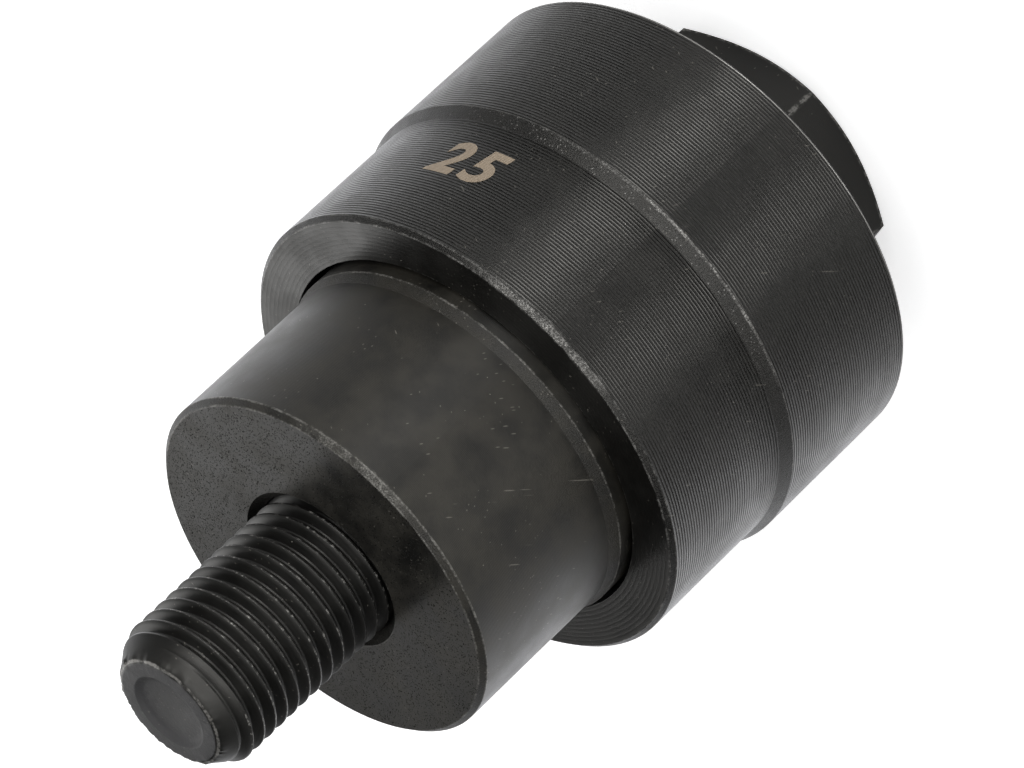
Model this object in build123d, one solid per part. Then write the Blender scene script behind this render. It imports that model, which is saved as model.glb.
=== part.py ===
from build123d import *
import os
from math import cos, floor, pi, radians, tan

# Tap hole cutter: a screw-drawn hole punch for thin sheet, such as a sink or basin.
# A draw bolt passes through the die from behind and pulls the punch into the die's mouth.
# The tool stands on the end of the bolt's hex head. Its axis is Z, with the thread's end
# at the top, and the origin is the centre of the head's end. Sizes are in millimetres.

# The hole that it cuts
hole_diameter = 25.0

# Punch
punch_length = 19.2
punch_stand_out = 12.9
punch_body_relief = 0.3
flare_length = 0.72
cutting_land_length = 7.0
cutting_wave_depth = 3.0
punch_face_chamfer = 0.35
countersink_diameter = 11.2
centre_recess_diameter = 15.0
centre_recess_depth = 1.6

# Die
die_clearance = 0.33
die_wall = 3.05
die_face_chamfer = 0.3
die_land_length = 4.0
die_land_relief = 0.25
die_floor_fillet = 0.8
web_thickness = 3.7
small_section_length = 9.95
step_height = 0.44
step_length = 0.8
rim_chamfer = 0.18
floor_gap = 0.7
punch_over_travel = 3.0

# Draw bolt
thread_diameter = 9.86
shank_diameter = 9.96
shank_length = 12.6
bolt_length = 49.0
head_across_flats = 17.0
head_height = 6.4
head_end_diameter = 16.2
head_chamfer_angle = 30.0
washer_face_diameter = 15.6
washer_face_height = 0.4
tip_diameter = 7.4
tip_cone_length = 1.75
tip_edge_radius = 0.25
tip_dish_diameter = 5.2
tip_dish_depth = 0.35

# Thrust ball bearing between the bolt's head and the die
bearing_diameter = 24.0
bearing_height = 9.0
bearing_stand_off = 1.1
ball_diameter = 4.762
race_radius_ratio = 0.52
race_depth = 0.68
race_edge_chamfer = 0.4
housing_race_bore = 11.0
shaft_race_undercut = 0.1
cage_thickness = 2.2
cage_rim = 0.6
cage_bar = 0.4

# Running and seating clearances, on the radius unless a line says otherwise
thread_clearance = 0.05
shank_clearance = 0.07
shaft_race_fit = 0.02
pocket_clearance = 0.05
ball_play = 0.02
ball_pocket_clearance = 0.06

# Radii and levels that follow from the sizes above
cutting_radius = hole_diameter / 2
punch_radius = cutting_radius - punch_body_relief
die_bore_radius = cutting_radius + die_clearance
small_radius = die_bore_radius + die_wall
large_radius = small_radius + step_height
thread_radius = thread_diameter / 2
shank_radius = shank_diameter / 2
bearing_radius = bearing_diameter / 2
pocket_radius = bearing_radius + pocket_clearance
shaft_race_bore_radius = shank_radius + shaft_race_fit
ball_radius = ball_diameter / 2
ball_circle_radius = (shaft_race_bore_radius + bearing_radius) / 2
window_radius = ball_radius + ball_pocket_clearance
ball_count = floor(2 * pi * ball_circle_radius / (2 * window_radius + cage_bar))
groove_radius = ball_diameter * race_radius_ratio
groove_offset = groove_radius - ball_radius - ball_play
race_thickness = (bearing_height - ball_diameter) / 2 - ball_play + race_depth

punch_engagement = punch_length - punch_stand_out
cavity_depth = punch_engagement + punch_over_travel + floor_gap
pocket_depth = bearing_height - bearing_stand_off
die_height = cavity_depth + web_thickness + pocket_depth

rim_level = head_height + bearing_stand_off
pocket_level = rim_level + pocket_depth
floor_level = pocket_level + web_thickness
die_face_level = rim_level + die_height
punch_face_level = die_face_level + punch_stand_out
cutting_level = die_face_level - punch_engagement
tip_level = head_height + bolt_length
ball_level = head_height + bearing_height / 2


def turned(outline):
    """Solid of revolution about Z from (radius, height) corners."""
    corners = [(radius, 0, height) for radius, height in outline]
    return revolve(make_face(Polyline(*corners, close=True)), Axis.Z)


def drum(radius, bottom, top):
    """Plain round bar about Z between two levels."""
    return Pos(0, 0, (bottom + top) / 2) * Cylinder(radius, top - bottom)


def make_die():
    """Cup die: mouth and cavity for the slug in front, pocket for the bearing behind."""
    step_toe = die_face_level - small_section_length
    body = turned([
        (0, rim_level),
        (large_radius - rim_chamfer, rim_level),
        (large_radius, rim_level + rim_chamfer),
        (large_radius, step_toe - step_length),
        (small_radius, step_toe),
        (small_radius, die_face_level - die_face_chamfer),
        (small_radius - die_face_chamfer, die_face_level),
        (0, die_face_level),
    ])
    land_end = die_face_level - die_land_length
    cavity_radius = die_bore_radius + die_land_relief
    cavity = drum(cavity_radius, floor_level, land_end - die_land_relief)
    cavity = fillet(cavity.edges().group_by(Axis.Z)[0], die_floor_fillet)
    relief_cone = turned([
        (0, land_end - die_land_relief),
        (cavity_radius, land_end - die_land_relief),
        (die_bore_radius, land_end),
        (0, land_end),
    ])
    mouth = drum(die_bore_radius, land_end, die_face_level)
    web_hole = drum(shank_radius + shank_clearance, pocket_level, floor_level)
    pocket = drum(pocket_radius, rim_level, pocket_level)
    return body - cavity - relief_cone - mouth - web_hole - pocket


def make_punch():
    """Tapped punch: relieved body, flared cutting land and a wave-shaped cutting edge."""
    land_top = cutting_level + cutting_land_length
    body = turned([
        (0, cutting_level),
        (cutting_radius, cutting_level),
        (cutting_radius, land_top),
        (punch_radius, land_top + flare_length),
        (punch_radius, punch_face_level - punch_face_chamfer),
        (punch_radius - punch_face_chamfer, punch_face_level),
        (0, punch_face_level),
    ])
    # A trough across the end leaves two cutting points and two low stretches between them.
    wave_radius = (cutting_radius**2 + cutting_wave_depth**2) / (2 * cutting_wave_depth)
    trough_level = cutting_level + cutting_wave_depth
    trough_place = Pos(0, 0, trough_level - wave_radius) * Rot(0, 90, 0)
    trough = trough_place * Cylinder(wave_radius, 2 * hole_diameter)
    recess = drum(centre_recess_diameter / 2, cutting_level, trough_level + centre_recess_depth)
    tapped_radius = thread_radius + thread_clearance
    tapped_hole = drum(tapped_radius, cutting_level, punch_face_level)
    countersink_radius = countersink_diameter / 2
    countersink = turned([
        (0, punch_face_level - countersink_radius),
        (countersink_radius, punch_face_level),
        (0, punch_face_level),
    ])
    return body - trough - recess - tapped_hole - countersink


def make_draw_bolt():
    """Hex head bolt: chamfered head, plain shank in the bearing, thread and dished tip."""
    hexagon = RegularPolygon(head_across_flats / 2, 6, major_radius=False)
    hex_height = head_height - washer_face_height
    head = extrude(hexagon, hex_height)
    corner_radius = head_across_flats / 2 / cos(radians(30))
    chamfer_height = (corner_radius - head_end_diameter / 2) * tan(radians(head_chamfer_angle))
    head &= turned([
        (0, 0),
        (head_end_diameter / 2, 0),
        (corner_radius, chamfer_height),
        (corner_radius, hex_height),
        (0, hex_height),
    ])
    washer_face = drum(washer_face_diameter / 2, hex_height, head_height)
    shank_top = head_height + shank_length
    shank = drum(shank_radius, head_height, shank_top)
    cone_level = tip_level - tip_cone_length
    tip_radius = tip_diameter / 2
    stem = turned([
        (0, shank_top),
        (thread_radius, shank_top),
        (thread_radius, cone_level),
        (tip_radius, tip_level),
        (0, tip_level),
    ])
    stem = fillet(stem.edges().group_by(Axis.Z)[-1], tip_edge_radius)
    dish_radius = tip_dish_diameter / 2
    dish_sphere_radius = (dish_radius**2 + tip_dish_depth**2) / (2 * tip_dish_depth)
    dish = Pos(0, 0, tip_level - tip_dish_depth + dish_sphere_radius) * Sphere(dish_sphere_radius)
    return head + washer_face + shank + (stem - dish)


def make_race(bore_radius, outer_radius, bottom, groove_level):
    """Bearing washer with chamfered outer corners and a ball groove in one side."""
    top = bottom + race_thickness
    washer = turned([
        (bore_radius, bottom),
        (outer_radius - race_edge_chamfer, bottom),
        (outer_radius, bottom + race_edge_chamfer),
        (outer_radius, top - race_edge_chamfer),
        (outer_radius - race_edge_chamfer, top),
        (bore_radius, top),
    ])
    groove = Pos(0, 0, groove_level) * Torus(ball_circle_radius, groove_radius)
    return washer - groove


def make_shaft_race():
    """Washer that turns with the bolt, under the bolt's head."""
    outer_radius = bearing_radius - shaft_race_undercut
    return make_race(shaft_race_bore_radius, outer_radius, head_height, ball_level + groove_offset)


def make_housing_race():
    """Washer that stays with the die, on the floor of the pocket."""
    bottom = pocket_level - race_thickness
    return make_race(housing_race_bore / 2, bearing_radius, bottom, ball_level - groove_offset)


def make_cage():
    """Flat ring that spaces the balls, one round window to a ball."""
    half_width = window_radius + cage_rim
    ring = turned([
        (ball_circle_radius - half_width, ball_level - cage_thickness / 2),
        (ball_circle_radius + half_width, ball_level - cage_thickness / 2),
        (ball_circle_radius + half_width, ball_level + cage_thickness / 2),
        (ball_circle_radius - half_width, ball_level + cage_thickness / 2),
    ])
    for place in PolarLocations(ball_circle_radius, ball_count):
        ring -= Pos(0, 0, ball_level) * place * Cylinder(window_radius, 2 * cage_thickness)
    return ring


def make_balls():
    """One ball for each window of the cage."""
    places = PolarLocations(ball_circle_radius, ball_count)
    return [Pos(0, 0, ball_level) * place * Sphere(ball_radius) for place in places]


pieces = {
    "die": make_die(),
    "punch": make_punch(),
    "draw_bolt": make_draw_bolt(),
    "shaft_race": make_shaft_race(),
    "housing_race": make_housing_race(),
    "ball_cage": make_cage(),
}
for number, ball in enumerate(make_balls(), start=1):
    pieces[f"ball_{number:02d}"] = ball

os.makedirs("parts", exist_ok=True)
for name, piece in pieces.items():
    export_step(piece, f"parts/{name}.step")
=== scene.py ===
from math import cos, floor, pi, radians, sin, sqrt, tan, tau

import bmesh
import bpy
from mathutils import Matrix, Vector, noise


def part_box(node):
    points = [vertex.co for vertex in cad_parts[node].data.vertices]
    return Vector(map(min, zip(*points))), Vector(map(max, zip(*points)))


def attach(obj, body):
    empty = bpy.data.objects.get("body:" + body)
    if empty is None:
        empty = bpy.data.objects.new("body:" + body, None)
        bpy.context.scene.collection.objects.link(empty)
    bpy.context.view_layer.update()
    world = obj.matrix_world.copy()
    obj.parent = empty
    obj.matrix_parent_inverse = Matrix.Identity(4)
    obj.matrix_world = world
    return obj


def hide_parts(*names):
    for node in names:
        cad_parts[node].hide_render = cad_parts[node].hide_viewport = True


# Looks, light and camera for the tap hole cutter. The solids come packed from the part's
# source. The bolt gets its real thread here and the die its size number. Sizes are in
# millimetres and are turned into the scene's metres where they reach Blender.

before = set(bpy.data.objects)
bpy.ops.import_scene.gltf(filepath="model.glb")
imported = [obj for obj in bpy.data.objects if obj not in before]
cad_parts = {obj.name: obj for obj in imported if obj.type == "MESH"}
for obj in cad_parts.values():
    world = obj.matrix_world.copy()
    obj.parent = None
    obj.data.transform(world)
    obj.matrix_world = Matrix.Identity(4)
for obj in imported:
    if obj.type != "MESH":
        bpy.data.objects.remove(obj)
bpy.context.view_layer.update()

MM = 0.001


def lowest(node):
    """Lowest level of a solid, in millimetres."""
    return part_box(node)[0].z / MM


def highest(node):
    """Highest level of a solid, in millimetres."""
    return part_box(node)[1].z / MM


# Die
die_rim_level = lowest("die")
die_face_level = highest("die")
die_large_radius = 16.32
die_small_radius = 15.88
die_mouth_radius = 12.83
die_rim_chamfer = 0.18
die_face_chamfer = 0.3
step_crest_level = 18.35
step_toe_level = 19.15

# Punch
punch_face_level = highest("punch")
punch_radius = 12.2
punch_face_chamfer = 0.35
cutting_radius = 12.5
flare_foot_level = 29.8
countersink_radius = 5.6

# Draw bolt
tip_level = highest("draw_bolt")
head_across_flats = 17.0
head_end_radius = 8.1
hex_height = 6.0
head_height = 6.4
washer_face_radius = 7.8
shank_radius = 4.98
thread_start = 19.0
thread_run_out = 1.5
thread_pitch = 1.0
thread_phase = 0.93
crest_radius = 4.93
cone_level = 53.65
tip_radius = 3.7
tip_edge_radius = 0.25
dish_radius = 2.6
dish_depth = 0.35

# Dish in the tip: share of its radius, and share of its depth
dish_form = [(0.95, 0.25), (0.9, 0.6), (0.84, 0.82), (0.7, 0.93), (0.35, 1.0)]

# Thread form over one turn: turns from the crest's middle, and depth under the crest
thread_form = [
    (0.0, 0.0),
    (0.05, 0.005),
    (0.085, 0.035),
    (0.22, 0.27),
    (0.355, 0.505),
    (0.415, 0.585),
    (0.5, 0.613),
    (0.585, 0.585),
    (0.645, 0.505),
    (0.78, 0.27),
    (0.915, 0.035),
    (0.95, 0.005),
]
bolt_columns = 168

# Size number on the die's small section
number_text = "25"
number_height = 2.97
number_widening = 1.0
number_lean = 0.22
number_weight = 0.12
number_spacing = 1.2
number_left_angle = 50.6
number_foot_level = 23.98
number_stand_out = 0.006


# Shader wiring

class Wiring:
    """Puts nodes into one tree and links whatever they are fed with."""

    def __init__(self, tree):
        self.tree = tree

    def node(self, kind, feeds=None, **settings):
        made = self.tree.nodes.new(kind)
        for name, value in settings.items():
            setattr(made, name, value)
        for socket, value in (feeds or {}).items():
            self.feed(made.inputs[socket], value)
        return made

    def feed(self, socket, value):
        if isinstance(value, bpy.types.NodeSocket):
            self.tree.links.new(value, socket)
        else:
            socket.default_value = value

    def calc(self, operation, *values, clamp=False):
        made = self.node("ShaderNodeMath", operation=operation, use_clamp=clamp)
        for socket, value in zip(made.inputs, values):
            self.feed(socket, value)
        return made.outputs[0]

    def ramp(self, value, low, high, to_low=0.0, to_high=1.0):
        """Smooth step of a value from low to high."""
        feeds = {"Value": value, "From Min": low, "From Max": high, "To Min": to_low, "To Max": to_high}
        return self.node("ShaderNodeMapRange", feeds, interpolation_type="SMOOTHSTEP").outputs[0]

    def blend(self, share, first, second):
        """Colour that goes from the first to the second with the share."""
        made = self.node("ShaderNodeMix", data_type="RGBA")
        self.feed(made.inputs[0], share)
        self.feed(made.inputs[6], first)
        self.feed(made.inputs[7], second)
        return made.outputs[2]

    def noise(self, place, scale, detail=2.0, roughness=0.5):
        feeds = {"Vector": place, "Scale": scale, "Detail": detail, "Roughness": roughness}
        return self.node("ShaderNodeTexNoise", feeds).outputs[0]

    def effect(self, group, **values):
        """Placed copy of an effect group, with its inputs by name."""
        made = self.node("ShaderNodeGroup", node_tree=group)
        for name, value in values.items():
            self.feed(made.inputs[name.replace("_", " ")], value)
        return made.outputs


def effect_group(name, inputs, outputs):
    """New shader group with number inputs (name and default) and its outputs by kind."""
    tree = bpy.data.node_groups.new(name, "ShaderNodeTree")
    for socket, default in inputs.items():
        made = tree.interface.new_socket(name=socket, in_out="INPUT", socket_type="NodeSocketFloat")
        made.default_value = default
    for socket, kind in outputs.items():
        tree.interface.new_socket(name=socket, in_out="OUTPUT", socket_type=kind)
    wiring = Wiring(tree)
    entry = wiring.node("NodeGroupInput")
    exit_node = wiring.node("NodeGroupOutput")
    return tree, wiring, entry.outputs, exit_node.inputs


def axis_place():
    """Where a point lies about the tool's axis, in millimetres and turns."""
    outputs = {
        "Place": "NodeSocketVector",
        "Radius": "NodeSocketFloat",
        "Level": "NodeSocketFloat",
        "Turn": "NodeSocketFloat",
        "Facing": "NodeSocketFloat",
        "Sloped": "NodeSocketFloat",
    }
    tree, w, given, result = effect_group("axis place", {}, outputs)
    source = w.node("ShaderNodeTexCoord")
    scaled = w.node("ShaderNodeVectorMath", {0: source.outputs["Object"]}, operation="SCALE")
    scaled.inputs["Scale"].default_value = 1 / MM
    place = scaled.outputs[0]
    split = w.node("ShaderNodeSeparateXYZ", {0: place})
    across, along, level = split.outputs
    flat = w.node("ShaderNodeCombineXYZ", {0: across, 1: along})
    length = w.node("ShaderNodeVectorMath", {0: flat.outputs[0]}, operation="LENGTH")
    turn = w.calc("DIVIDE", w.calc("ARCTAN2", along, across), tau)
    normal = w.node("ShaderNodeSeparateXYZ", {0: source.outputs["Normal"]})
    tilt = w.calc("ABSOLUTE", normal.outputs[2])
    facing = w.ramp(tilt, 0.9, 0.97)
    sloped = w.calc("MULTIPLY", w.ramp(tilt, 0.25, 0.36), w.ramp(tilt, 0.78, 0.84, 1.0, 0.0))
    w.feed(result["Place"], place)
    w.feed(result["Radius"], length.outputs["Value"])
    w.feed(result["Level"], level)
    w.feed(result["Turn"], turn)
    w.feed(result["Facing"], facing)
    w.feed(result["Sloped"], sloped)
    return tree


def turning_marks(place_group):
    """Fine tool marks: round the walls by level, and round the faces by radius."""
    inputs = {"Feed": 0.22, "Face Feed": 0.12}
    outputs = {"Height": "NodeSocketFloat"}
    tree, w, given, result = effect_group("turning marks", inputs, outputs)
    at = w.effect(place_group)
    along_wall = w.calc("DIVIDE", at["Level"], given["Feed"])
    across_face = w.calc("DIVIDE", at["Radius"], given["Face Feed"])
    gap = w.calc("SUBTRACT", across_face, along_wall)
    travel = w.calc("MULTIPLY_ADD", gap, at["Facing"], along_wall)
    drift = w.noise(at["Place"], 0.35, 1.0)
    travel = w.calc("MULTIPLY_ADD", drift, 0.5, travel)
    off_middle = w.calc("SUBTRACT", w.calc("FRACT", travel), 0.5)
    scallop = w.calc("MULTIPLY", w.calc("MULTIPLY", off_middle, off_middle), 4.0)
    each = w.node("ShaderNodeTexWhiteNoise", {"W": w.calc("FLOOR", travel)}, noise_dimensions="1D")
    depth = w.ramp(each.outputs[0], 0.0, 1.0, 0.75, 1.0)
    w.feed(result["Height"], w.calc("MULTIPLY", scallop, depth))
    return tree


def worn_ring(place_group):
    """Mask round one turned edge, broken up as rubbed edges are."""
    inputs = {"Ring Radius": 10.0, "Ring Level": 0.0, "Width": 0.15, "Breaks": 0.5}
    tree, w, given, result = effect_group("worn ring", inputs, {"Wear": "NodeSocketFloat"})
    at = w.effect(place_group)
    out = w.calc("SUBTRACT", at["Radius"], given["Ring Radius"])
    up = w.calc("SUBTRACT", at["Level"], given["Ring Level"])
    squares = w.calc("MULTIPLY_ADD", out, out, w.calc("MULTIPLY", up, up))
    distance = w.calc("SQRT", squares)
    coarse = w.noise(at["Place"], 0.9, 3.0, 0.65)
    fine = w.noise(at["Place"], 6.0, 3.0, 0.7)
    ragged = w.calc("MULTIPLY_ADD", coarse, 0.6, w.calc("MULTIPLY", fine, 0.6))
    kept = w.ramp(ragged, w.calc("MULTIPLY", given["Breaks"], 0.85), w.calc("ADD", given["Breaks"], 0.25))
    reach = w.calc("MULTIPLY", given["Width"], w.calc("MULTIPLY_ADD", ragged, 1.4, 0.2))
    near = w.calc("SUBTRACT", 1.0, w.calc("DIVIDE", distance, reach), clamp=True)
    w.feed(result["Wear"], w.calc("MULTIPLY", w.ramp(near, 0.0, 0.5), kept))
    return tree


def speckle(place_group):
    """Small scattered specks, such as dust, pits or bare points."""
    inputs = {"Spacing": 0.3, "Share": 0.3, "Size": 0.3}
    tree, w, given, result = effect_group("speckle", inputs, {"Specks": "NodeSocketFloat"})
    at = w.effect(place_group)
    cells = w.node("ShaderNodeTexVoronoi", {"Vector": at["Place"]}, feature="F1")
    w.feed(cells.inputs["Scale"], w.calc("DIVIDE", 1.0, given["Spacing"]))
    tone = w.node("ShaderNodeSeparateColor", {0: cells.outputs["Color"]})
    chosen = w.calc("LESS_THAN", tone.outputs[0], given["Share"])
    size = w.calc("MULTIPLY", given["Size"], w.calc("MULTIPLY_ADD", tone.outputs[1], 0.8, 0.4))
    spot = w.ramp(w.calc("DIVIDE", cells.outputs["Distance"], size), 0.6, 1.0, 1.0, 0.0)
    w.feed(result["Specks"], w.calc("MULTIPLY", spot, chosen))
    return tree


def mottling(place_group):
    """Cloudy unevenness of a blackened surface, from 0 to 1."""
    tree, w, given, result = effect_group("mottling", {"Size": 3.0}, {"Cloud": "NodeSocketFloat"})
    at = w.effect(place_group)
    cloud = w.noise(at["Place"], w.calc("DIVIDE", 1.0, given["Size"]), 5.0, 0.6)
    w.feed(result["Cloud"], w.ramp(cloud, 0.3, 0.7))
    return tree


def scratches(place_group):
    """Sparse short straight scratches that lean two ways across the axis."""
    inputs = {"Length": 4.0, "Width": 0.12, "Share": 0.01}
    tree, w, given, result = effect_group("scratches", inputs, {"Lines": "NodeSocketFloat"})
    at = w.effect(place_group)
    lines = []
    for lean in ((0.5, 0.3, 0.9), (-0.6, 0.9, 2.1)):
        turned = w.node("ShaderNodeVectorRotate", {"Vector": at["Place"]}, rotation_type="EULER_XYZ")
        turned.inputs["Rotation"].default_value = lean
        parts = w.node("ShaderNodeSeparateXYZ", {0: turned.outputs[0]})
        stretched = w.node("ShaderNodeCombineXYZ")
        for part, side, stretch in zip(parts.outputs, stretched.inputs, ("Length", "Width", "Width")):
            w.feed(side, w.calc("DIVIDE", part, given[stretch]))
        cells = w.node("ShaderNodeTexVoronoi", {"Vector": stretched.outputs[0], "Scale": 1.0}, feature="F1")
        tone = w.node("ShaderNodeSeparateColor", {0: cells.outputs["Color"]})
        chosen = w.calc("LESS_THAN", tone.outputs[0], given["Share"])
        lines.append(w.calc("MULTIPLY", w.ramp(cells.outputs["Distance"], 0.15, 0.35, 1.0, 0.0), chosen))
    w.feed(result["Lines"], w.calc("MAXIMUM", lines[0], lines[1]))
    return tree


place_group = axis_place()
marks_group = turning_marks(place_group)
ring_group = worn_ring(place_group)
speckle_group = speckle(place_group)
mottling_group = mottling(place_group)
scratch_group = scratches(place_group)


# Materials

def blank_material(name):
    """Material with a Principled shader: its wiring and that shader's sockets."""
    material = bpy.data.materials.new(name)
    material.use_nodes = True
    tree = material.node_tree
    tree.nodes.clear()
    w = Wiring(tree)
    shader = w.node("ShaderNodeBsdfPrincipled")
    w.node("ShaderNodeOutputMaterial", {"Surface": shader.outputs[0]})
    return material, w, shader.inputs


def strongest(w, masks):
    """The largest of several masks."""
    top = masks[0]
    for mask in masks[1:]:
        top = w.calc("MAXIMUM", top, mask)
    return top


def worn_edges(w, edges):
    """Wear along several turned edges: radius, level, width, breaks and strength of each."""
    masks = []
    for radius, level, width, breaks, strength in edges:
        ring = w.effect(ring_group, Ring_Radius=radius, Ring_Level=level, Width=width, Breaks=breaks)
        masks.append(w.calc("MULTIPLY", ring["Wear"], strength))
    return strongest(w, masks)


def rubbed_arcs(w, finish, arcs):
    """Grainy bare patches along parts of edges: as worn edges, then middle and spread in turns."""
    masks = []
    for *edge, middle, spread in arcs:
        window = along_arc(w, finish["at"]["Turn"], middle, spread)
        grains = w.ramp(finish["grit"], 0.42, 0.66, 0.1, 1.0)
        masks.append(w.calc("MULTIPLY", w.calc("MULTIPLY", worn_edges(w, [edge]), window), grains))
    return strongest(w, masks)


def along_arc(w, turn, middle, spread):
    """Mask that is full at one place round the axis and fades to both sides, in turns."""
    off_middle = w.calc("ABSOLUTE", w.calc("SUBTRACT", turn, middle))
    return w.ramp(off_middle, spread * 0.4, spread, 1.0, 0.0)


def turned_lay(w, skin, stretch):
    """Stretches the shine along the tool marks of the walls, and leaves the faces plain."""
    source = w.node("ShaderNodeTexCoord")
    tilt = w.node("ShaderNodeSeparateXYZ", {0: source.outputs["Normal"]}).outputs[2]
    around = w.node("ShaderNodeTangent", direction_type="RADIAL", axis="Z")
    lay = w.node("ShaderNodeMix", data_type="VECTOR")
    w.feed(lay.inputs[0], w.ramp(w.calc("ABSOLUTE", tilt), 0.9, 0.97))
    w.feed(lay.inputs[4], around.outputs[0])
    w.feed(lay.inputs[5], (0.0, 1.0, 0.0))
    w.feed(skin["Tangent"], lay.outputs[1])
    skin["Anisotropic"].default_value = stretch
    skin["Anisotropic Rotation"].default_value = 0.25


def oiled_black(name, dark, light, edges, feeds, roughness):
    """Oil-blackened turned steel. Gives back what a piece adds its own marks to."""
    material, w, skin = blank_material(name)
    skin["IOR"].default_value = 1.5
    skin["Specular Tint"].default_value = (1.0, 0.98, 0.93, 1)
    at = w.effect(place_group)
    marks = w.effect(marks_group, Feed=feeds[0], Face_Feed=feeds[1])
    cloud = w.effect(mottling_group, Size=2.6)["Cloud"]
    rough = w.calc("MULTIPLY_ADD", cloud, 0.1, roughness)
    finish = {
        "at": at,
        "marks": marks,
        "wear": worn_edges(w, edges),
        "grit": w.noise(at["Place"], 9.0, 3.0, 0.75),
        "grain": w.noise(at["Place"], 14.0, 3.0, 0.7),
        "colour": w.blend(cloud, dark, light),
        "rough": w.calc("MULTIPLY_ADD", at["Sloped"], 0.08, rough),
        "hollows_with_painted_shade": 0.0,
    }
    return material, w, skin, finish


def surface_height(w, finish, groove, grain, grit):
    """Height in millimetres: grooves on walls and faces, grain all over, grit on slopes."""
    at = finish["at"]
    calm = w.calc("MULTIPLY_ADD", at["Facing"], -0.95, 1.0)
    grooves = w.calc("MULTIPLY", w.calc("MULTIPLY", finish["marks"]["Height"], calm), groove)
    smooth = w.calc("MULTIPLY_ADD", finish["grain"], grain, grooves)
    gap = w.calc("SUBTRACT", w.calc("MULTIPLY", finish["grit"], grit), smooth)
    return w.calc("MULTIPLY_ADD", gap, at["Sloped"], smooth)


def finish_black(w, skin, finish, height, bare):
    """Lays wear, scratches and dust over the black and feeds the shader."""
    lines = w.effect(scratch_group, Length=5.0, Width=0.14, Share=0.02)["Lines"]
    dust = w.effect(speckle_group, Spacing=0.42, Share=0.05, Size=0.11)["Specks"]
    colour = w.blend(w.calc("MULTIPLY", lines, 0.45), finish["colour"], (0.16, 0.15, 0.13, 1))
    colour = w.blend(w.calc("MULTIPLY", dust, 0.6), colour, (0.24, 0.23, 0.20, 1))
    w.feed(skin["Base Color"], w.blend(finish["wear"], colour, bare))
    w.feed(skin["Metallic"], w.calc("MULTIPLY_ADD", finish["wear"], 0.75, finish["hollows_with_painted_shade"], clamp=True))
    w.feed(skin["Roughness"], w.calc("SUBTRACT", finish["rough"], w.calc("MULTIPLY", finish["wear"], 0.08)))
    rounded = w.node("ShaderNodeBevel", {"Radius": 0.07 * MM}, samples=4)
    bump = w.node("ShaderNodeBump", {"Strength": 1.0, "Distance": MM, "Height": height})
    w.feed(bump.inputs["Normal"], rounded.outputs[0])
    w.feed(skin["Normal"], bump.outputs[0])


def die_black():
    """Die: black with clear turning marks, a rubbed step and rubbed rims."""
    edges = [
        (die_small_radius, die_face_level - die_face_chamfer, 0.07, 0.60, 0.35),
        (die_small_radius - die_face_chamfer, die_face_level, 0.08, 0.60, 0.4),
        (die_large_radius, step_crest_level, 0.05, 0.6, 0.3),
        (die_mouth_radius, die_face_level, 0.08, 0.66, 0.25),
        (die_large_radius, die_rim_level + die_rim_chamfer, 0.07, 0.15, 0.6),
    ]
    black = (0.001, 0.001, 0.0009, 1)
    grey = (0.004, 0.0038, 0.0033, 1)
    material, w, skin, finish = oiled_black("die_black", black, grey, edges, (0.22, 0.3), 0.31)
    turned_lay(w, skin, 0.45)
    at = finish["at"]
    over_crest = w.ramp(at["Level"], step_crest_level - 0.05, step_crest_level + 0.03)
    under_toe = w.ramp(at["Level"], step_toe_level - 0.03, step_toe_level + 0.05, 1.0, 0.0)
    outside = w.calc("GREATER_THAN", at["Radius"], die_small_radius - 0.02)
    band = w.calc("MULTIPLY", w.calc("MULTIPLY", over_crest, under_toe), outside)
    bare_points = w.effect(speckle_group, Spacing=0.15, Share=0.35, Size=0.36)["Specks"]
    bare_points = w.calc("MULTIPLY", bare_points, along_arc(w, at["Turn"], 0.02, 0.16))
    bare_points = w.calc("MULTIPLY", bare_points, w.calc("MULTIPLY", band, 0.3))
    half = die_face_chamfer / 2
    rubbed = [
        (die_small_radius - half, die_face_level - half, 0.36, 0.47, 0.65, 0.003, 0.065),
        (die_large_radius, step_crest_level + 0.05, 0.12, 0.5, 0.8, -0.02, 0.12),
    ]
    finish["wear"] = strongest(w, [finish["wear"], rubbed_arcs(w, finish, rubbed), bare_points])
    height = surface_height(w, finish, 0.06, 0.004, 0.04)
    finish_black(w, skin, finish, height, (0.42, 0.41, 0.39, 1))
    return material


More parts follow.
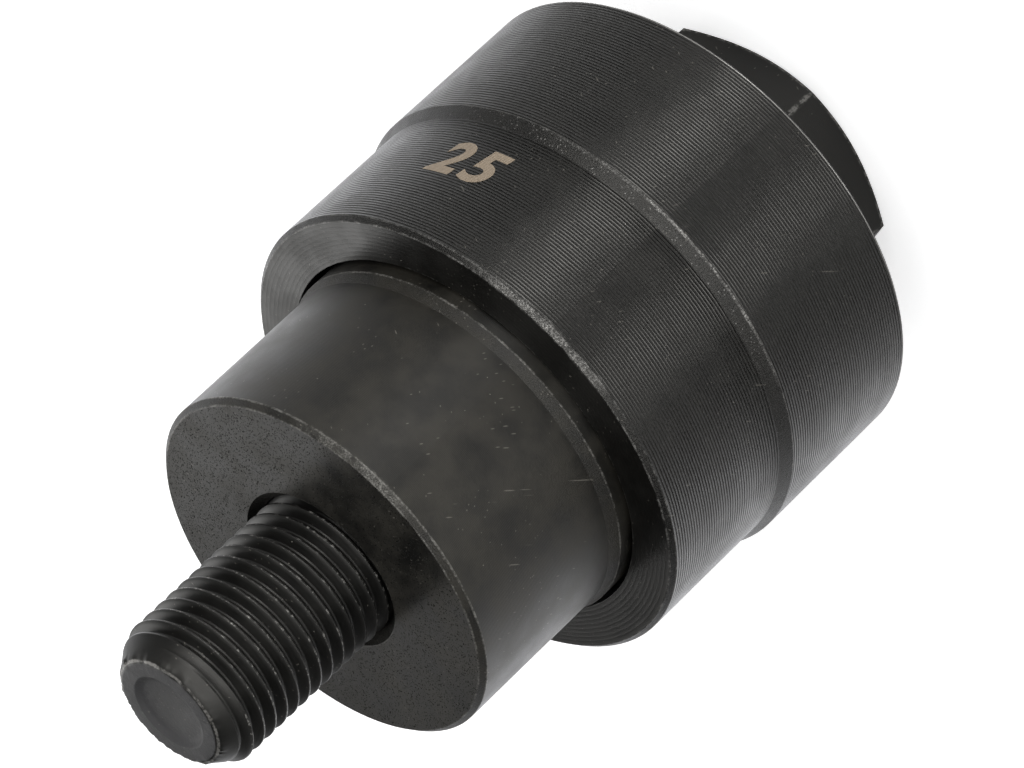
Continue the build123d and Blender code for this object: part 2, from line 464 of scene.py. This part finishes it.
def punch_black():
    """Punch: smoother black, a ground flare, a pitted end face and a rough countersink."""
    edges = [
        (punch_radius, punch_face_level - punch_face_chamfer, 0.08, 0.55, 0.35),
        (punch_radius - punch_face_chamfer, punch_face_level, 0.08, 0.58, 0.4),
        (cutting_radius, flare_foot_level, 0.08, 0.58, 0.4),
        (countersink_radius, punch_face_level, 0.06, 0.66, 0.3),
    ]
    black = (0.001, 0.001, 0.0008, 1)
    brown = (0.015, 0.0136, 0.0105, 1)
    material, w, skin, finish = oiled_black("punch_black", black, brown, edges, (0.10, 0.11), 0.4)
    turned_lay(w, skin, 0.6)
    at = finish["at"]
    coarse_pits = w.effect(speckle_group, Spacing=0.16, Share=0.5, Size=0.36)["Specks"]
    fine_pits = w.effect(speckle_group, Spacing=0.09, Share=0.55, Size=0.42)["Specks"]
    # Painted shade in the hollows: the face's pits, the countersink and the bore inside it are made
    # near-black and without shine, standing for the shade in them as well as their dark, pitted metal.
    pits = w.calc("MULTIPLY", w.calc("MAXIMUM", coarse_pits, fine_pits), at["Facing"])
    sink = w.calc("LESS_THAN", at["Radius"], countersink_radius - 0.02)
    hollows_with_painted_shade = w.calc("MAXIMUM", pits, sink)
    finish["colour"] = w.blend(hollows_with_painted_shade, finish["colour"], (0.001, 0.001, 0.001, 1))
    finish["rough"] = w.calc("MULTIPLY_ADD", hollows_with_painted_shade, 0.2, finish["rough"])
    finish["hollows_with_painted_shade"] = w.calc("MULTIPLY", hollows_with_painted_shade, 0.9)
    half = punch_face_chamfer / 2
    rubbed = [
        (punch_radius - half, punch_face_level - half, 0.36, 0.5, 0.45, 0.03, 0.065),
    ]
    finish["wear"] = strongest(w, [finish["wear"], rubbed_arcs(w, finish, rubbed)])
    height = surface_height(w, finish, 0.004, 0.003, 0.045)
    height = w.calc("MULTIPLY_ADD", pits, -0.03, height)
    height = w.calc("MULTIPLY_ADD", w.calc("MULTIPLY", finish["grit"], sink), 0.12, height)
    finish_black(w, skin, finish, height, (0.40, 0.39, 0.36, 1))
    return material


def bolt_black():
    """Draw bolt: oily black, with broken bright crests on the thread and a dull tip."""
    edges = [
        (tip_radius, tip_level - 0.05, 0.12, 0.50, 0.6),
        (crest_radius, cone_level, 0.10, 0.62, 0.4),
    ]
    black = (0.001, 0.001, 0.0009, 1)
    grey = (0.003, 0.003, 0.0026, 1)
    material, w, skin, finish = oiled_black("bolt_black", black, grey, edges, (0.13, 0.13), 0.38)
    at = finish["at"]
    helix = w.calc("SUBTRACT", w.calc("DIVIDE", at["Level"], thread_pitch), at["Turn"])
    phase = w.calc("FRACT", w.calc("SUBTRACT", helix, thread_phase - 0.5))
    off_crest = w.calc("ABSOLUTE", w.calc("SUBTRACT", phase, 0.5))
    broken = w.noise(at["Place"], 2.8, 4.0, 0.8)
    on_crest = w.calc("MULTIPLY", w.ramp(off_crest, 0.03, 0.08, 1.0, 0.0), w.ramp(broken, 0.53, 0.64))
    threaded = w.calc("MULTIPLY", w.ramp(at["Level"], thread_start, thread_start + 1), at["Radius"])
    outside = w.calc("GREATER_THAN", threaded, crest_radius - 0.12)
    crest_wear = w.calc("MULTIPLY", w.calc("MULTIPLY", on_crest, outside), 0.55)
    corner = w.ramp(at["Radius"], 9.68, 9.78)
    over_end = w.calc("SUBTRACT", at["Radius"], w.calc("MULTIPLY", at["Level"], 1 / tan(radians(30))))
    end_edge = w.ramp(over_end, head_end_radius - 0.35, head_end_radius - 0.12)
    end_edge = w.calc("MULTIPLY", end_edge, w.calc("LESS_THAN", over_end, head_end_radius - 0.02))
    hex_wear = w.calc("MULTIPLY", w.calc("MAXIMUM", corner, end_edge), w.ramp(broken, 0.44, 0.6))
    hex_wear = w.calc("MULTIPLY", hex_wear, 0.5)
    finish["wear"] = strongest(w, [finish["wear"], crest_wear, hex_wear])
    tip = w.ramp(at["Level"], tip_level - dish_depth - 0.05, tip_level - 0.3)
    disc = w.calc("MULTIPLY", tip, w.calc("LESS_THAN", at["Radius"], tip_radius - 0.2))
    finish["colour"] = w.blend(disc, finish["colour"], (0.034, 0.034, 0.036, 1))
    finish["rough"] = w.calc("MULTIPLY_ADD", disc, 0.2, finish["rough"])
    height = surface_height(w, finish, 0.0015, 0.002, 0.004)
    height = w.calc("MULTIPLY_ADD", w.calc("MULTIPLY", broken, disc), 0.06, height)
    finish_black(w, skin, finish, height, (0.34, 0.33, 0.31, 1))
    return material


def laser_tan():
    """Size number: tan laser marking with the beam's fine raster lines."""
    material, w, skin = blank_material("laser_tan")
    at = w.effect(place_group)
    sweep = w.calc("FRACT", w.calc("DIVIDE", at["Level"], 0.11))
    raster = w.ramp(w.calc("ABSOLUTE", w.calc("SUBTRACT", sweep, 0.5)), 0.2, 0.5)
    cloud = w.effect(mottling_group, Size=0.25)["Cloud"]
    colour = w.blend(raster, (0.29, 0.23, 0.165, 1), (0.15, 0.115, 0.08, 1))
    colour = w.blend(w.calc("MULTIPLY", cloud, 0.35), colour, (0.19, 0.15, 0.108, 1))
    w.feed(skin["Base Color"], colour)
    w.feed(skin["Roughness"], w.calc("MULTIPLY_ADD", raster, 0.15, 0.5))
    bump = w.node("ShaderNodeBump", {"Distance": 0.004 * MM, "Height": raster})
    w.feed(skin["Normal"], bump.outputs[0])
    return material


def bright_steel(name, tone, roughness, feed, groove):
    """Bare bearing steel with the fine marks of its last cut or grind."""
    material, w, skin = blank_material(name)
    marks = w.effect(marks_group, Feed=feed, Face_Feed=feed)
    cloud = w.effect(mottling_group, Size=2.0)["Cloud"]
    darker = tuple(channel * 0.75 for channel in tone[:3]) + (1,)
    w.feed(skin["Base Color"], w.blend(cloud, tone, darker))
    w.feed(skin["Roughness"], w.calc("MULTIPLY_ADD", cloud, 0.1, roughness))
    skin["Metallic"].default_value = 1.0
    bump = w.node("ShaderNodeBump", {"Distance": groove * MM, "Height": marks["Height"]})
    w.feed(skin["Normal"], bump.outputs[0])
    return material


# Draw bolt with its real thread

def hex_radius(angle):
    """Distance from the axis to the side of the head's hexagon, which has a corner on +X."""
    return head_across_flats / 2 / cos(angle % radians(60) - radians(30))


def cone_radius(level):
    """Radius of the tip's chamfer cone, and of the rounded edge above it."""
    fall = (crest_radius - tip_radius) / (tip_level - cone_level)
    on_cone = crest_radius - max(0.0, level - cone_level) * fall
    over_edge = level - (tip_level - tip_edge_radius)
    if over_edge <= 0:
        return on_cone
    rounding = tip_edge_radius - sqrt(max(0.0, tip_edge_radius**2 - over_edge**2))
    return on_cone - rounding * 0.8


def thread_depth(phase):
    """Depth under the crest at a phase of the thread form, in turns from the crest."""
    corners = thread_form + [(1.0, 0.0)]
    for (first, first_depth), (last, last_depth) in zip(corners, corners[1:]):
        if phase <= last:
            return first_depth + (last_depth - first_depth) * (phase - first) / (last - first)
    return 0.0


def stem_radius(level, angle):
    """Radius of the threaded stem: thread, run-out into the shank, and cone at the tip."""
    phase = (level / thread_pitch - angle / tau - thread_phase) % 1.0
    run_in = min(1.0, (level - thread_start) / thread_run_out)
    full = shank_radius + (crest_radius - shank_radius) * run_in
    return min(full - thread_depth(phase) * run_in, cone_radius(level))


def tip_dent(angle, level):
    """Small dents of the worn rim at the tip, in millimetres."""
    around = Vector((cos(angle), sin(angle), 0.0))
    dents = noise.noise(around * 5.3) * 0.2 + noise.noise(around * 17.0) * 0.16
    return dents * max(0.0, 1 - (tip_level - level) / 0.5)


def bolt_rings(angles):
    """Rings of (radius, level) at each angle, from the head's end to the middle of the dish."""
    rise = tan(radians(30))
    rings = [
        [(head_end_radius, 0.0) for angle in angles],
        [(hex_radius(angle), (hex_radius(angle) - head_end_radius) * rise) for angle in angles],
        [(hex_radius(angle), hex_height) for angle in angles],
        [(washer_face_radius, hex_height) for angle in angles],
        [(washer_face_radius, head_height) for angle in angles],
        [(shank_radius, head_height) for angle in angles],
    ]
    # Every row climbs one pitch in a turn, so its end meets the start of a later row.
    first_turn = floor(thread_start / thread_pitch) - 2
    last_turn = floor(tip_level / thread_pitch) + 1
    for turn in range(first_turn, last_turn):
        for phase, _ in thread_form:
            ring = []
            for angle in angles:
                level = (turn + phase + thread_phase + angle / tau) * thread_pitch
                level = min(max(level, thread_start), tip_level)
                ring.append((stem_radius(level, angle) + tip_dent(angle, level), level))
            rings.append(ring)
    rings.append([(dish_radius, tip_level) for angle in angles])
    for share, depth in dish_form:
        rings.append([(dish_radius * share, tip_level - dish_depth * depth) for angle in angles])
    return rings


def make_threaded_bolt():
    """Draw bolt as one closed piece: hex head, shank, cut thread and dished tip."""
    angles = [tau * column / bolt_columns for column in range(bolt_columns + 1)]
    mesh = bmesh.new()
    rows = []
    for ring in bolt_rings(angles):
        row = []
        for angle, (radius, level) in zip(angles, ring):
            row.append(mesh.verts.new((radius * cos(angle) * MM, radius * sin(angle) * MM, level * MM)))
        rows.append(row)
    head_end = mesh.verts.new((0, 0, 0))
    dish_middle = mesh.verts.new((0, 0, (tip_level - dish_depth) * MM))
    for column in range(bolt_columns):
        after = column + 1
        mesh.faces.new((head_end, rows[0][after], rows[0][column]))
        mesh.faces.new((dish_middle, rows[-1][column], rows[-1][after]))
        for low, high in zip(rows, rows[1:]):
            mesh.faces.new((low[column], low[after], high[after], high[column]))
    bmesh.ops.remove_doubles(mesh, verts=mesh.verts, dist=0.0002 * MM)
    bolt = new_piece("threaded_bolt", mesh, bolt_black())
    bolt.data.set_sharp_from_angle(angle=radians(27))
    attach(bolt, "bolt_body")
    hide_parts("draw_bolt")


def new_piece(name, mesh, material):
    """Smooth-shaded object from a finished bmesh."""
    data = bpy.data.meshes.new(name)
    mesh.to_mesh(data)
    mesh.free()
    data.shade_smooth()
    data.materials.append(material)
    piece = bpy.data.objects.new(name, data)
    bpy.context.collection.objects.link(piece)
    return piece


# Size number on the die's small section

def flat_number():
    """Flat bmesh of the number in millimetres, with its foot on y = 0 and its left at x = 0."""
    text = bpy.data.curves.new("number_outline", "FONT")
    text.body = number_text
    text.size = number_height / 0.73
    text.shear = number_lean
    text.offset = number_weight
    text.space_character = number_spacing
    text.resolution_u = 12
    outline = bpy.data.objects.new("number_outline", text)
    bpy.context.collection.objects.link(outline)
    data = bpy.data.meshes.new_from_object(outline)
    bpy.data.objects.remove(outline)
    mesh = bmesh.new()
    mesh.from_mesh(data)
    left = min(vertex.co.x for vertex in mesh.verts)
    foot = min(vertex.co.y for vertex in mesh.verts)
    top = max(vertex.co.y for vertex in mesh.verts)
    stretch = number_height / (top - foot)
    for vertex in mesh.verts:
        vertex.co.x = (vertex.co.x - left) * number_widening
        vertex.co.y = (vertex.co.y - foot) * stretch
    return mesh


def make_size_number():
    """Size number wrapped round the die as a thin closed skin, like the laser's mark."""
    mesh = flat_number()
    bmesh.ops.remove_doubles(mesh, verts=mesh.verts, dist=0.0005)
    width = max(vertex.co.x for vertex in mesh.verts)
    for cut in range(1, floor(width / 0.3) + 1):
        everything = mesh.verts[:] + mesh.edges[:] + mesh.faces[:]
        bmesh.ops.bisect_plane(mesh, geom=everything, plane_co=(cut * 0.3, 0, 0), plane_no=(1, 0, 0))
    raised = bmesh.ops.extrude_face_region(mesh, geom=mesh.faces[:])["geom"]
    for vertex in (part for part in raised if isinstance(part, bmesh.types.BMVert)):
        vertex.co.z += 1
    for vertex in mesh.verts:
        angle = radians(number_left_angle) - vertex.co.x / die_small_radius
        radius = die_small_radius + (number_stand_out if vertex.co.z > 0.5 else -0.02)
        level = number_foot_level - vertex.co.y
        vertex.co = Vector((radius * cos(angle), radius * sin(angle), level)) * MM
    bmesh.ops.recalc_face_normals(mesh, faces=mesh.faces)
    number = new_piece("size_number", mesh, laser_tan())
    number.data.set_sharp_from_angle(angle=radians(40))
    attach(number, "die_body")


# Studio

def make_floor():
    """White floor that keeps a soft shadow."""
    mesh = bmesh.new()
    bmesh.ops.create_circle(mesh, cap_ends=True, segments=96, radius=2.5)
    material = bpy.data.materials.new("studio_white")
    material.use_nodes = True
    tree = material.node_tree
    tree.nodes.clear()
    w = Wiring(tree)
    ray = w.node("ShaderNodeLightPath")
    paint = w.node("ShaderNodeBsdfDiffuse", {"Color": (0.85, 0.85, 0.85, 1)})
    source = w.node("ShaderNodeTexCoord")
    spot = w.node("ShaderNodeVectorMath", {0: source.outputs["Object"]}, operation="NORMALIZE")
    # Painted reflected light: rays that mirror off the tool see the floor glow, from nothing at the front
    # to 1.1 towards the back, with a slight blue tint.
    towards_back = (-0.995, -0.05, 0)
    side = w.node("ShaderNodeVectorMath", {0: spot.outputs[0], 1: towards_back}, operation="DOT_PRODUCT")
    behind = w.ramp(side.outputs["Value"], -0.4, 0.7, 0.0, 1.1)
    painted_reflection_glow = w.calc("MULTIPLY", ray.outputs["Is Glossy Ray"], behind)
    strength = w.calc("MULTIPLY_ADD", ray.outputs["Is Camera Ray"], 0.6, painted_reflection_glow)
    tint = w.blend(ray.outputs["Is Glossy Ray"], (1, 1, 1, 1), (0.95, 0.96, 1, 1))
    glow = w.node("ShaderNodeEmission", {"Color": tint, "Strength": strength})
    lit = w.node("ShaderNodeAddShader", {0: paint.outputs[0], 1: glow.outputs[0]})
    w.node("ShaderNodeOutputMaterial", {"Surface": lit.outputs[0]})
    floor_piece = new_piece("studio_floor", mesh, material)


def make_world():
    """Studio air: white at the horizon, and a dimmer ceiling."""
    world = bpy.data.worlds.new("studio_air")
    bpy.context.scene.world = world
    world.use_nodes = True
    tree = world.node_tree
    tree.nodes.clear()
    w = Wiring(tree)
    source = w.node("ShaderNodeTexCoord")
    height = w.node("ShaderNodeSeparateXYZ", {0: source.outputs["Generated"]}).outputs[2]
    strength = w.ramp(height, -0.05, 0.2, 1.0, 0.07)
    air = w.node("ShaderNodeBackground", {"Color": (1, 1, 1, 1), "Strength": strength})
    w.node("ShaderNodeOutputWorld", {"Surface": air.outputs[0]})


def softbox(name, azimuth, elevation, distance, size, brightness):
    """Upright area lamp aimed at the middle of the tool, of a width, height and radiance."""
    middle = Vector((0, 0, 0.028))
    turn = radians(azimuth)
    rise = radians(elevation)
    away = Vector((cos(turn) * cos(rise), sin(turn) * cos(rise), sin(rise)))
    lamp = bpy.data.lights.new(name, "AREA")
    lamp.shape = "RECTANGLE"
    lamp.size, lamp.size_y = size
    lamp.energy = brightness * pi * size[0] * size[1]
    holder = bpy.data.objects.new(name, lamp)
    holder.location = middle + away * distance
    holder.rotation_euler = away.to_track_quat("Z", "Y").to_euler()
    bpy.context.collection.objects.link(holder)


def make_camera():
    """Camera at the photograph's angle, rolled as the photograph is."""
    right = Vector((0.31361595, -0.70838654, -0.63232393))
    up = Vector((0.38982667, 0.70326593, -0.59451846))
    back = Vector((0.86584075, -0.06004626, 0.49670338))
    lens = bpy.data.cameras.new("camera")
    lens.sensor_width = 36
    lens.lens = 239.906
    lens.clip_start = 0.01
    camera = bpy.data.objects.new("camera", lens)
    place = Matrix((right, up, back)).transposed().to_4x4()
    place.translation = Vector((350.116, -24.032, 225.033)) * MM
    camera.matrix_world = place
    bpy.context.collection.objects.link(camera)
    bpy.context.scene.camera = camera


# Assembly

bpy.context.scene.view_settings.view_transform = "Standard"

make_threaded_bolt()
make_size_number()

race_ground = bright_steel("race_ground", (0.55, 0.55, 0.56, 1), 0.22, 0.05, 0.0006)
ball_polish = bright_steel("ball_polish", (0.78, 0.78, 0.80, 1), 0.06, 0.08, 0.0001)
cage_machined = bright_steel("cage_machined", (0.45, 0.45, 0.45, 1), 0.32, 0.12, 0.002)
finishes = {
    "die": die_black(),
    "punch": punch_black(),
    "shaft_race": race_ground,
    "housing_race": race_ground,
    "ball_cage": cage_machined,
}
for node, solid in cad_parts.items():
    if node in finishes:
        solid.data.materials[0] = finishes[node]
    elif node.startswith("ball_"):
        solid.data.materials[0] = ball_polish

make_floor()
make_world()
softbox("left_strip", 21, 30, 0.5, (0.13, 0.5), 10.0)
softbox("right_strip", -33, 38, 0.5, (0.15, 0.4), 7.0)
softbox("back_softbox", 153, 30, 0.3, (0.22, 0.22), 2.3)
make_camera()

bpy.context.view_layer.update()
